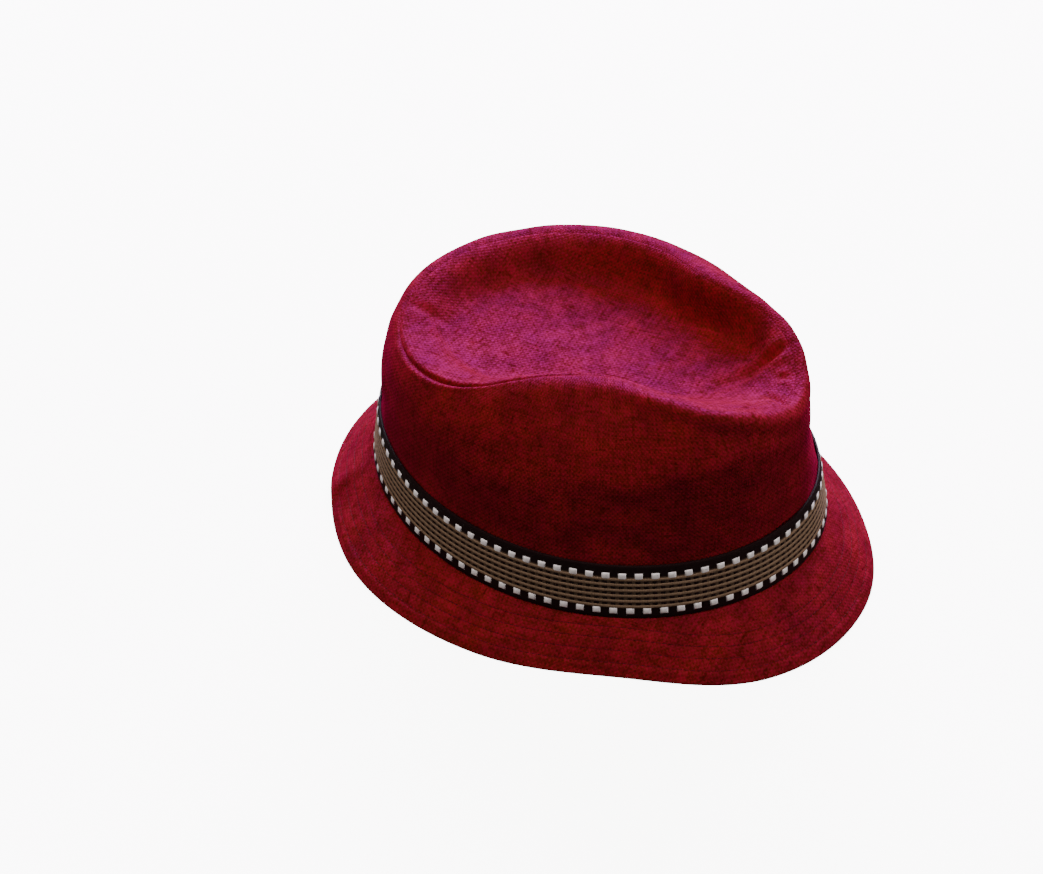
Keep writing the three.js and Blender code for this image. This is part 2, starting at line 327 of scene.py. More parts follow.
def ring_mesh(name, rings, uv_rings, loop, uv_period=None):
    """A mesh from rings of points in millimetres, in order round its section. A loop joins the last
    ring to the first, and otherwise the first and the last ring are each drawn together at a pole."""
    stack = np.array(rings) * MM
    stack[..., 1] += FOOT_BEHIND * MM
    ring_count, count = stack.shape[:2]
    uvs = np.array(uv_rings, float)
    bands = ring_count if loop else ring_count - 1
    r = np.repeat(np.arange(bands), count)
    i = np.tile(np.arange(count), bands)
    j = (i + 1) % count
    up = (r + 1) % ring_count
    quads = np.stack([r * count + j, r * count + i, up * count + i, up * count + j], -1)
    corner_uv = np.stack([uvs[r, j], uvs[r, i], uvs[up, i], uvs[up, j]], 1)
    if uv_period:
        wrapped = j == 0
        corner_uv[wrapped, 0, 0] += uv_period
        corner_uv[wrapped, 3, 0] += uv_period
    points = stack.reshape(-1, 3)
    faces = quads.tolist()
    corners = corner_uv.reshape(-1, 2)
    if not loop:
        k = np.arange(count)
        m = (k + 1) % count
        for ring, one, two in ((0, k, m), (ring_count - 1, m, k)):
            pole = len(points)
            points = np.vstack([points, stack[ring].mean(axis=0)])
            corner = ring * count
            faces += np.stack([np.full(count, pole), corner + one, corner + two], -1).tolist()
            middle_uv = np.broadcast_to(uvs[ring].mean(axis=0), (count, 2))
            fan = np.stack([middle_uv, uvs[ring, one], uvs[ring, two]], 1)
            corners = np.vstack([corners, fan.reshape(-1, 2)])
    mesh = bpy.data.meshes.new(name)
    mesh.from_pydata(points.tolist(), [], faces)
    layer = mesh.uv_layers.new(name="cloth")
    layer.data.foreach_set("uv", corners.astype(np.float32).ravel())
    mesh.polygons.foreach_set("use_smooth", np.ones(len(mesh.polygons), bool))
    mesh.update()
    made = bpy.data.objects.new(name, mesh)
    bpy.context.collection.objects.link(made)
    return made


def add(tree, kind, sockets=None, **settings):
    """Adds a node with its settings, and fills its sockets with values or other nodes' outputs."""
    made = tree.nodes.new(kind)
    for name, value in settings.items():
        setattr(made, name, value)
    for key, value in (sockets or {}).items():
        if isinstance(value, bpy.types.NodeSocket):
            tree.links.new(value, made.inputs[key])
        else:
            made.inputs[key].default_value = value
    return made


def new_material(name):
    """An empty node material with its output and its tree."""
    material = bpy.data.materials.new(name)
    material.use_nodes = True
    tree = material.node_tree
    tree.nodes.clear()
    return material, tree, tree.nodes.new("ShaderNodeOutputMaterial")


def slubby_cloth():
    """Cross-dyed plain weave of flax-like yarn: a bright thread one way and a deep one the other, so
    it shifts between the two. Thick places in the yarn show as short streaks and dark flecks, and its
    loose fibres give a soft sheen at the edges."""
    found = bpy.data.materials.get("cross_dyed_slub_cloth")
    if found:
        return found
    sizes, colours = bpy.context.scene.hat_sizes, bpy.context.scene.hat_colours
    material, tree, output = new_material("cross_dyed_slub_cloth")
    pitch = sizes.thread_pitch / MM
    place = add(tree, "ShaderNodeUVMap", uv_map="cloth").outputs["UV"]
    # Yarn wanders by up to about half a millimetre over a centimetre
    wander = add(tree, "ShaderNodeTexNoise", {
        "Vector": place, "Scale": 1 / 11, "Detail": 1.0,
    }).outputs["Color"]
    middle = (0.5, 0.5, 0.5)
    shift = add(tree, "ShaderNodeVectorMath", {0: wander, 1: middle}, operation="SUBTRACT").outputs[0]
    shift = add(tree, "ShaderNodeVectorMath", {0: shift, "Scale": 1.6}, operation="SCALE").outputs[0]
    yarn = add(tree, "ShaderNodeVectorMath", {0: place, 1: shift}, operation="ADD").outputs[0]
    parts = add(tree, "ShaderNodeSeparateXYZ", {0: yarn}).outputs
    waves = []
    for axis in ("X", "Y"):
        angle = add(tree, "ShaderNodeMath", {
            0: parts[axis], 1: math.pi / pitch,
        }, operation="MULTIPLY").outputs[0]
        waves.append(add(tree, "ShaderNodeMath", {0: angle}, operation="SINE").outputs[0])
    crossing = add(tree, "ShaderNodeMath", {0: waves[0], 1: waves[1]}, operation="MULTIPLY").outputs[0]
    weave = add(tree, "ShaderNodeMath", {
        0: crossing, 1: 0.5, 2: 0.5,
    }, operation="MULTIPLY_ADD").outputs[0]
    # Slubs are streaks about a thread wide and 7 mm long, along both threads, and then the dark
    # flecks are 2 mm wide and 8 mm long
    streaks = []
    for source, scale, detail, roughness in (
        (yarn, (1 / pitch, 1 / 7, 1), 3.0, 0.62), (yarn, (1 / 7, 1 / pitch, 1), 3.0, 0.62),
        (place, (1 / 2.4, 1 / 8, 1), 2.0, 0.5), (place, (1 / 8, 1 / 2, 1), 2.0, 0.5),
    ):
        stretched = add(tree, "ShaderNodeMapping", {"Vector": source, "Scale": scale}).outputs["Vector"]
        streaks.append(add(tree, "ShaderNodeTexNoise", {
            "Vector": stretched, "Scale": 1.0, "Detail": detail, "Roughness": roughness,
        }).outputs["Fac"])
    slub = add(tree, "ShaderNodeMath", {0: streaks[0], 1: streaks[1]}, operation="ADD").outputs[0]
    slub = add(tree, "ShaderNodeMapRange", {0: slub, 1: 0.8, 2: 1.2, 3: 0.0, 4: 1.0}).outputs[0]
    tone = add(tree, "ShaderNodeMath", {0: weave, 1: 0.34}, operation="MULTIPLY").outputs[0]
    tone = add(tree, "ShaderNodeMath", {
        0: slub, 1: 0.66, 2: tone,
    }, operation="MULTIPLY_ADD", use_clamp=True).outputs[0]
    yarns = add(tree, "ShaderNodeMix", {
        "Factor": tone, 6: colours.weft[:], 7: colours.warp[:],
    }, data_type="RGBA").outputs[2]
    # The dark flecks, and broadly uneven dye
    flecks = [
        add(tree, "ShaderNodeMapRange", {
            0: spot, 1: 0.58, 2: 0.76, 3: 0.0, 4: 0.42,
        }, interpolation_type="SMOOTHSTEP").outputs[0]
        for spot in streaks[2:]
    ]
    fleck = add(tree, "ShaderNodeMath", {0: flecks[0], 1: flecks[1]}, operation="MAXIMUM").outputs[0]
    flecked = add(tree, "ShaderNodeMix", {
        "Factor": fleck, 6: yarns, 7: colours.fleck[:],
    }, data_type="RGBA").outputs[2]
    dye = add(tree, "ShaderNodeTexNoise", {
        "Vector": place, "Scale": 1 / 14, "Detail": 3.0,
    }).outputs["Fac"]
    dye = add(tree, "ShaderNodeMapRange", {0: dye, 1: 0.3, 2: 0.7, 3: 0.78, 4: 1.22}).outputs[0]
    dyed = add(tree, "ShaderNodeVectorMath", {0: flecked, "Scale": dye}, operation="SCALE").outputs[0]
    height = add(tree, "ShaderNodeMath", {
        0: slub, 1: 0.6, 2: weave,
    }, operation="MULTIPLY_ADD").outputs[0]
    bump = add(tree, "ShaderNodeBump", {
        "Height": height, "Strength": 0.55, "Distance": 0.25 * MM,
    }).outputs[0]
    shader = add(tree, "ShaderNodeBsdfPrincipled", {
        "Base Color": dyed, "Roughness": 0.65, "Specular IOR Level": 0.0,
        "Sheen Weight": 0.15, "Sheen Roughness": 0.38, "Sheen Tint": linear("#FF1880"),
        "Normal": bump,
    })
    # The bright yarn's smooth side gives back a violet light, mostly towards the mirrored side
    clear = add(tree, "ShaderNodeMapRange", {0: fleck, 1: 0.0, 2: 0.4, 3: 1.0, 4: 0.15}).outputs[0]
    clear = add(tree, "ShaderNodeMath", {0: clear, 1: tone}, operation="MULTIPLY").outputs[0]
    violet = add(tree, "ShaderNodeVectorMath", {
        0: linear("#0C0134")[:3], "Scale": clear,
    }, operation="SCALE").outputs[0]
    smooth = add(tree, "ShaderNodeBsdfAnisotropic", {"Color": violet, "Roughness": 0.6, "Normal": bump})
    both = add(tree, "ShaderNodeAddShader", {0: shader.outputs[0], 1: smooth.outputs[0]})
    tree.links.new(both.outputs[0], output.inputs["Surface"])
    return material


def thread_finish():
    """Spun polyester sewing thread in the cloth's deep shades, with a faint mottle from its twist
    about a millimetre long."""
    material, tree, output = new_material("spun_sewing_thread")
    place = add(tree, "ShaderNodeTexCoord").outputs["Object"]
    tone = add(tree, "ShaderNodeTexNoise", {
        "Vector": place, "Scale": 0.9 / MM, "Detail": 1.0,
    }).outputs["Fac"]
    shade = add(tree, "ShaderNodeMix", {
        "Factor": tone, 6: linear("#2E0708"), 7: linear("#5E1424"),
    }, data_type="RGBA").outputs[2]
    shader = add(tree, "ShaderNodeBsdfPrincipled", {
        "Base Color": shade, "Roughness": 0.6, "Specular IOR Level": 0.08,
    })
    tree.links.new(shader.outputs[0], output.inputs["Surface"])
    return material


def ribbon_weave(name, dark, light, rib):
    """Jacquard ribbon of viscose and cotton: cross ribs of the given spacing in millimetres, a little
    coarser than real ones so that they show, and a slight gloss."""
    material, tree, output = new_material(name)
    place = add(tree, "ShaderNodeUVMap", uv_map="cloth").outputs["UV"]
    parts = add(tree, "ShaderNodeSeparateXYZ", {0: place}).outputs
    angle = add(tree, "ShaderNodeMath", {
        0: parts["X"], 1: 2 * math.pi / rib,
    }, operation="MULTIPLY").outputs[0]
    ribs = add(tree, "ShaderNodeMath", {0: angle}, operation="SINE").outputs[0]
    ribs = add(tree, "ShaderNodeMath", {0: ribs, 1: 0.5, 2: 0.5}, operation="MULTIPLY_ADD").outputs[0]
    speck = add(tree, "ShaderNodeTexNoise", {
        "Vector": place, "Scale": 1 / 1.4, "Detail": 2.0,
    }).outputs["Fac"]
    tone = add(tree, "ShaderNodeMath", {0: ribs, 1: speck}, operation="MULTIPLY").outputs[0]
    shade = add(tree, "ShaderNodeMix", {"Factor": tone, 6: dark, 7: light}, data_type="RGBA").outputs[2]
    bump = add(tree, "ShaderNodeBump", {
        "Height": ribs, "Strength": 0.5, "Distance": 0.12 * MM,
    }).outputs[0]
    shader = add(tree, "ShaderNodeBsdfPrincipled", {
        "Base Color": shade, "Roughness": 0.6, "Specular IOR Level": 0.15, "Normal": bump,
    })
    tree.links.new(shader.outputs[0], output.inputs["Surface"])
    return material


def ride_as(piece, replaced=None):
    """Puts a finished piece on the hat's one body, and hides the solid it stands for where there is
    one.
    """
    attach(piece, "root")
    if replaced:
        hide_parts(replaced)


# Sections round the crown. The first stands at the back, where the side panel is joined.
CROWN_SECTIONS = 520
BACK_TURN = 180.0
SOFTENING_ALONG = 14
SOFTENING_ROUND = 30
# Share of a panel's length at the ring beside its sewn edge, which keeps the edge's shading crisp
SEAM_EDGE = 0.9985
HALF_SEAM = 0.03
# Millimetres of the tip turned under the side panel
ALLOWANCE = 3.0
# Relief of the crown in millimetres: the seam's groove, which widens with its depth, the turned cloth
# beside it, the roll below the ridge, and the join at the back, whose half width is in degrees
GROOVE_HALF_WIDTH = 0.55
GROOVE_WIDENING = 0.35
PUFF_SHARE = 0.28
PUFF_BELOW_SEAM = 2.6
PUFF_HALF_WIDTH = 1.6
ROLL_BELOW_RIDGE = 5.5
ROLL_HALF_WIDTH = 4.4
JOIN_DEPTH = 0.5
JOIN_HALF_WIDTH = 0.35


def even_turns(count):
    return BACK_TURN + 360.0 * np.arange(count) / count


def run_round(turns):
    """Length along the foot oval from the first section to each of the others, and all round."""
    ring = foot(turns)
    steps = np.linalg.norm(np.roll(ring, -1, axis=0) - ring, axis=-1)
    return np.concatenate([[0], np.cumsum(steps)[:-1]]), steps.sum()


def crown_skin():
    """The crown's whole outer face as a fine softened grid, with its turns, the length along each
    column and where the tip's seam lies on it."""
    turns = even_turns(CROWN_SECTIONS)
    legs = ((-2, 24), (-1, 28), (0, 52), (1, 34))
    path = np.concatenate([
        *(np.linspace(start, start + 1, rows, endpoint=False) for start, rows in legs),
        np.linspace(2, 2.985, 48),
    ])
    wide_turns, wide_path = np.meshgrid(turns, path)
    grid = softened(crown(wide_turns, wide_path), SOFTENING_ALONG)
    for _ in range(SOFTENING_ROUND):
        grid = 0.25 * np.roll(grid, 1, axis=1) + 0.5 * grid + 0.25 * np.roll(grid, -1, axis=1)
    steps = np.linalg.norm(np.diff(grid, axis=0), axis=-1)
    lengths = np.concatenate([np.zeros((1, len(turns))), np.cumsum(steps, axis=0)])
    crest_row = int(np.argmin(np.abs(path - 1)))
    seam = lengths[crest_row] + column(CROWN_COLUMNS, CROWN_ROWS, "seam", turns)
    return turns, grid, lengths, seam


def relief(points, normals, from_seam, turns):
    """Adds the cloth's relief: the seam's groove and the turned cloth beside it, the roll below the
    ridge, the join at the back, gentle unevenness and creases."""
    seam, groove, roll = (
        column(CROWN_COLUMNS, CROWN_ROWS, name, turns) for name in ("seam", "groove", "roll")
    )
    groove_width = GROOVE_HALF_WIDTH + GROOVE_WIDENING * groove
    sink = groove * np.exp(-(from_seam / groove_width) ** 2)
    puff = PUFF_SHARE * groove * np.exp(-((from_seam + PUFF_BELOW_SEAM) / PUFF_HALF_WIDTH) ** 2)
    swell = roll * np.exp(-((from_seam + seam + ROLL_BELOW_RIDGE) / ROLL_HALF_WIDTH) ** 2)
    uneven = unevenness(points, CROWN_UNEVENNESS)
    from_join = np.minimum(np.abs(turns - BACK_TURN), np.abs(turns - BACK_TURN - 360))
    joined = JOIN_DEPTH * np.exp(-(from_join / JOIN_HALF_WIDTH) ** 2) * (from_seam < 0)
    points = points + normals * (puff + swell + uneven - sink - joined)[..., None]
    return creased(points, normals)


class HAT_OT_crown(bpy.types.Operator):
    """Sews the crown's side panel and its dented tip"""

    bl_idname = "hat.crown"
    bl_label = "Crown"

    def execute(self, context):
        turns, grid, lengths, seam = crown_skin()
        normals = normals_of(grid)
        round_run, perimeter = run_round(turns)

        def face(shares, start, end, wall):
            wanted = start + (end - start) * np.array(shares)[:, None]
            points = along_columns(grid, lengths, wanted)
            outwards = along_columns(normals, lengths, wanted)
            outwards /= np.linalg.norm(outwards, axis=-1, keepdims=True)
            points = relief(points, outwards, wanted - seam, np.broadcast_to(turns, wanted.shape))
            return points - outwards * wall, wanted

        zero = np.zeros_like(seam)
        side_end = seam - HALF_SEAM
        outer, outer_run = face(np.append(np.linspace(0, SEAM_EDGE, 96), 1.0), zero, side_end, 0)
        inner, inner_run = face(np.append(1.0, np.linspace(0.985, 0, 40)), zero, side_end, CROWN_WALL)
        up = np.concatenate([outer_run, inner_run])
        uv = np.stack([np.broadcast_to(round_run, up.shape), up], -1)
        side = ring_mesh("side_panel", np.concatenate([outer, inner]), uv, True, perimeter)

        tip_start, tip_end = seam + HALF_SEAM, lengths[-1]
        shares = np.append(0.0, np.linspace(1 - SEAM_EDGE, 1, 76) ** 1.15)
        outer, outer_run = face(shares, tip_start, tip_end, 0)
        inner, inner_run = face(np.linspace(1, 0.05, 30), tip_start, tip_end, CROWN_WALL)
        # The allowance lies under the side panel: how far in from the seam, and how many walls down
        flange = ((0.5, 2.1), (-ALLOWANCE, 2.1), (-ALLOWANCE, 1.1), (2 * HALF_SEAM, 1.1))
        allowance = [face([place], seam, seam + 1, CROWN_WALL * walls) for place, walls in flange]
        rings = np.concatenate([inner, *(ring for ring, _ in allowance), outer])
        runs = np.concatenate([inner_run, *(run for _, run in allowance), outer_run])
        radius = np.linalg.norm(rings[..., :2], axis=-1, keepdims=True)
        heading = rings[..., :2] / np.maximum(radius, 1e-6)
        last_radius = np.linalg.norm(grid[-1, :, :2], axis=-1)
        uv = heading * (lengths[-1] + last_radius - runs)[..., None]
        tip = ring_mesh("tip_panel", rings, uv, False)

        for piece in (side, tip):
            piece.data.materials.append(slubby_cloth())
        ride_as(side, "crown_side")
        ride_as(tip, "crown_tip")
        return {"FINISHED"}


BRIM_SECTIONS = 640
# Relief of the brim in millimetres: the hem ends at the first row of stitches, and each row dips
HEM_INSET = 5.0
HEM_HEIGHT = 0.35
HEM_HALF_WIDTH = 1.3
HEM_CREST_INSET = 3.4
DIP_DEPTH = 0.2
DIP_HALF_WIDTH = 0.7
CALM_EDGE = 8
FLOOR_ROOM = 0.03


def brim_run(turns):
    """Length across the brim from foot to edge at each turn."""
    shares = np.linspace(0, 1, 25)
    wide_turns, wide_shares = np.meshgrid(turns, shares)
    steps = np.linalg.norm(np.diff(brim(wide_turns, wide_shares), axis=0), axis=-1)
    return steps.sum(axis=0)


def stitch_insets():
    sizes = bpy.context.scene.hat_sizes
    spacing = sizes.stitch_row_spacing / MM
    return [HEM_INSET + spacing * i for i in range(sizes.stitch_rows)]


def brim_relief(points, normals, from_edge):
    """Adds the stitched rows' dips, the hem's ridge and gentle unevenness to the brim."""
    dips = sum(
        DIP_DEPTH * np.exp(-((from_edge - inset) / DIP_HALF_WIDTH) ** 2) for inset in stitch_insets()
    )
    hem = HEM_HEIGHT * np.exp(-((from_edge - HEM_CREST_INSET) / HEM_HALF_WIDTH) ** 2)
    uneven = unevenness(points, BRIM_UNEVENNESS) * smooth_step(0, CALM_EDGE, from_edge)
    return points + normals * (hem + uneven - dips)[..., None]


def brim_face(turns, from_edge):
    """Points and outward normals of the stitched upper face at lengths in from the edge."""
    width = brim_run(turns)
    share = 1 - from_edge / width
    step = 0.004
    points = brim(turns, share)
    along = brim(turns, share + step) - brim(turns, share - step)
    around = brim(turns + 0.1, share) - brim(turns - 0.1, share)
    normals = np.cross(around, along)
    normals /= np.linalg.norm(normals, axis=-1, keepdims=True)
    return brim_relief(points, normals, from_edge), normals


class HAT_OT_brim(bpy.types.Operator):
    """Sews the turned-down brim with its hem"""

    bl_idname = "hat.brim"
    bl_label = "Brim"

    def execute(self, context):
        turns = even_turns(BRIM_SECTIONS)
        width = brim_run(turns)
        under_crown = RIBBON_THICKNESS + GAP + CROWN_WALL
        top, top_runs = [], []
        for share in np.linspace(0, 1, 50):
            from_edge = width * share
            points, _ = brim_face(turns, from_edge)
            top.append(points)
            top_runs.append(from_edge)
        margin = foot(turns, np.full(len(turns), -under_crown))
        margin = np.concatenate([margin, foot_height(turns)[:, None]], -1)
        top.append(margin)
        top_runs.append(width + under_crown)
        under, under_runs = [margin - [0, 0, BRIM_WALL]], [width + under_crown]
        for share in np.linspace(1, 0.05, 16):
            points, normals = brim_face(turns, width * share)
            points = points - normals * BRIM_WALL
            points[:, 2] = np.maximum(points[:, 2], FLOOR_ROOM)
            under.append(points)
            under_runs.append(width * share)
        # The rounded edge, from below: how far in, how high, and how far round from the top
        rounded = ((0.35, FLOOR_ROOM, 2.0), (-0.15, 0.35, 1.2), (-0.22, 0.75, 0.5))
        edge, _ = brim_face(turns, np.zeros(len(turns)))
        lift = edge[:, 2] - EDGE_RISE
        reach = column(BRIM_COLUMNS, BRIM_ROWS, "reach", turns) * BRIM_REACH
        rim, rim_runs = [], []
        for inset, height, below in rounded:
            plan = foot(turns, reach - inset)
            rim.append(np.concatenate([plan, (height + lift)[:, None]], -1))
            rim_runs.append(np.full(len(turns), -below))
        rings = top + under + rim
        runs = np.array(top_runs + under_runs + rim_runs)
        plan = foot(turns)
        heading = foot(turns, np.ones(len(turns))) - plan
        uv = plan[None] + heading[None] * (width[None] - runs)[..., None]
        piece = ring_mesh("brim_cloth", rings, uv, True)
        piece.data.materials.append(slubby_cloth())
        ride_as(piece, "brim")
        return {"FINISHED"}


TURNING_SEED = 4


def repeat_tree():
    """A tree that lays a shape at even steps along a path, its length along the path and its top
    outwards, each a little turned."""
    found = bpy.data.node_groups.get("repeat_along_path")
    if found:
        return found
    tree = bpy.data.node_groups.new("repeat_along_path", "GeometryNodeTree")
    for name, kind in (
        ("Geometry", "Geometry"), ("Shape", "Object"), ("Finish", "Material"),
        ("Count", "Int"), ("Size", "Vector"), ("Unevenness", "Float"),
    ):
        tree.interface.new_socket(name, in_out="INPUT", socket_type="NodeSocket" + kind)
    tree.interface.new_socket("Geometry", in_out="OUTPUT", socket_type="NodeSocketGeometry")
    given = tree.nodes.new("NodeGroupInput").outputs
    result = tree.nodes.new("NodeGroupOutput")
    line = add(tree, "GeometryNodeMeshToCurve", {"Mesh": given["Geometry"]}).outputs[0]
    spots = add(tree, "GeometryNodeResampleCurve", {
        "Curve": line, "Count": given["Count"],
    }, mode="COUNT").outputs[0]
    shape = add(tree, "GeometryNodeObjectInfo", {"Object": given["Shape"]}).outputs["Geometry"]
    tangent = add(tree, "GeometryNodeInputTangent").outputs[0]
    outwards = add(tree, "GeometryNodeInputNamedAttribute", {
        "Name": "outwards",
    }, data_type="FLOAT_VECTOR").outputs[0]
    lying = add(tree, "FunctionNodeAlignRotationToVector", {"Vector": tangent}, axis="X").outputs[0]
    facing = add(tree, "FunctionNodeAlignRotationToVector", {
        "Rotation": lying, "Vector": outwards,
    }, axis="Z", pivot_axis="X").outputs[0]
    most = given["Unevenness"]
    least = add(tree, "ShaderNodeMath", {0: most, 1: -1.0}, operation="MULTIPLY").outputs[0]
    swing = add(tree, "FunctionNodeRandomValue", {
        2: least, 3: most, "Seed": TURNING_SEED,
    }, data_type="FLOAT").outputs[1]
    turned = add(tree, "FunctionNodeAxisAngleToRotation", {
        "Axis": (0.0, 0.0, 1.0), "Angle": swing,
    }).outputs[0]
    final = add(tree, "FunctionNodeRotateRotation", {
        0: facing, 1: turned,
    }, rotation_space="LOCAL").outputs[0]
    laid = add(tree, "GeometryNodeInstanceOnPoints", {
        "Points": spots, "Instance": shape, "Rotation": final, "Scale": given["Size"],
    }).outputs[0]
    real = add(tree, "GeometryNodeRealizeInstances", {0: laid}).outputs[0]
    shown = add(tree, "GeometryNodeSetMaterial", {
        "Geometry": real, "Material": given["Finish"],
    }).outputs[0]
    tree.links.new(shown, result.inputs[0])
    return tree


def pad_shape(name, columns, rows, roundness):
    """A low cushion one unit long, wide and high, lying on its flat base."""
    def dome(place):
        return 1 - abs(2 * place) ** roundness

    xs, ys = np.linspace(-0.5, 0.5, columns), np.linspace(-0.5, 0.5, rows)
    points = [(x, y, dome(x) * dome(y)) for y in ys for x in xs]
    starts = [j * columns + i for j in range(rows - 1) for i in range(columns - 1)]
    faces = [(k, k + 1, k + columns + 1, k + columns) for k in starts]
    rim = list(range(columns))
    rim += [j * columns + columns - 1 for j in range(1, rows)]
    rim += [(rows - 1) * columns + i for i in range(columns - 2, -1, -1)]
    rim += [j * columns for j in range(rows - 2, 0, -1)]
    faces.append(tuple(reversed(rim)))
    mesh = bpy.data.meshes.new(name)
    mesh.from_pydata(points, [], faces)
    layer = mesh.uv_layers.new(name="cloth")
    for loop in mesh.loops:
        x, y, _ = points[loop.vertex_index]
        layer.data[loop.index].uv = (x, y)
    for polygon in mesh.polygons:
        polygon.use_smooth = len(polygon.vertices) == 4
    shape = bpy.data.objects.new(name, mesh)
    bpy.context.collection.objects.link(shape)
    return shape


def laid_along(name, paths, shape, finish, count, size, unevenness=0.0):
    """Lays a shape along closed paths of points and outward directions, as a plain mesh."""
    points, edges, outwards = [], [], []
    for line, directions in paths:
        first = len(points)
        line = np.array(line) * MM
        line[:, 1] += FOOT_BEHIND * MM
        points += line.tolist()
        outwards += np.array(directions).tolist()
        edges += [(first + i, first + (i + 1) % len(line)) for i in range(len(line))]
    mesh = bpy.data.meshes.new(name + "_path")
    mesh.from_pydata(points, edges, [])
    attribute = mesh.attributes.new("outwards", "FLOAT_VECTOR", "POINT")
    attribute.data.foreach_set("vector", np.array(outwards, np.float32).ravel())
    carrier = bpy.data.objects.new(name + "_path", mesh)
    bpy.context.collection.objects.link(carrier)
    tree = repeat_tree()
    modifier = carrier.modifiers.new("repeat", "NODES")
    modifier.node_group = tree
    wanted = {"Shape": shape, "Finish": finish, "Count": count, "Size": size, "Unevenness": unevenness}
    for item in tree.interface.items_tree:
        if item.in_out == "INPUT" and item.name in wanted:
            modifier[item.identifier] = wanted[item.name]
    context = bpy.context
    context.view_layer.update()
    evaluated = carrier.evaluated_get(context.evaluated_depsgraph_get())
    made_mesh = bpy.data.meshes.new_from_object(evaluated)
    made_mesh.name = name
    carrier.modifiers.remove(modifier)
    bpy.data.objects.remove(carrier)
    if not made_mesh.polygons:
        raise RuntimeError(f"{name} came out empty")
    made = bpy.data.objects.new(name, made_mesh)
    context.collection.objects.link(made)
    return made


# The ribbon's pattern in millimetres, with heights up its face from its lower edge
LOW_SQUARES = 3.9
HIGH_SQUARES = 21.9
SQUARE_HEIGHT = 3.3
SQUARE_WIDTH = 3.4
RIB_LOW = 6.2
RIB_SPACING = 2.8
RIB_COUNT = 6
RIB_WIDTH = 1.5
DASH_LENGTH = 2.0
DASH_HEIGHT = 1.15
SQUARE_THICKNESS = 0.4
DASH_THICKNESS = 0.12
# How far laid pieces stand off the face below, and the most they are turned, in radians
STAND_OFF = 0.02
PATTERN_UNEVENNESS = 0.02
# Section of one rib: share of its width from its middle, and height above the face
RIB_SECTION = ((-0.5, -0.2), (-0.42, 0.18), (-0.15, 0.3), (0.15, 0.3), (0.42, 0.18), (0.5, -0.2))
# Degrees over which the lapped end rises, and the share of the ribbon's thickness that it rises by
LAP_EASE = 0.4
LAP_SHARE = 0.8


def ribbon_face(turns, height, lift=0.0):
    """Points and outward directions on the ribbon's face, a lift above it."""
    share = height / RIBBON_HEIGHT
    plan = foot(turns)
    radius = np.linalg.norm(plan, axis=-1)
    lean = column(CROWN_COLUMNS, CROWN_ROWS, "lean", turns) * GREATEST_LEAN * share
    wrapped = np.mod(turns, 360)
    started = smooth_step(LAP_START - LAP_EASE, LAP_START, wrapped)
    lapped = started * (1 - smooth_step(LAP_END, LAP_END + LAP_EASE, wrapped))
    out = 1 - (lean - lapped * RIBBON_THICKNESS * LAP_SHARE - lift) / radius
    z = blend(foot_height(turns) + GAP, foot_height(turns) + RIBBON_HEIGHT, share)
    outwards = foot(turns, np.ones(len(turns))) - plan
    outwards = np.concatenate([outwards, np.full((len(turns), 1), 0.1)], -1)
    return np.concatenate([plan * out[:, None], z[:, None]], -1), outwards


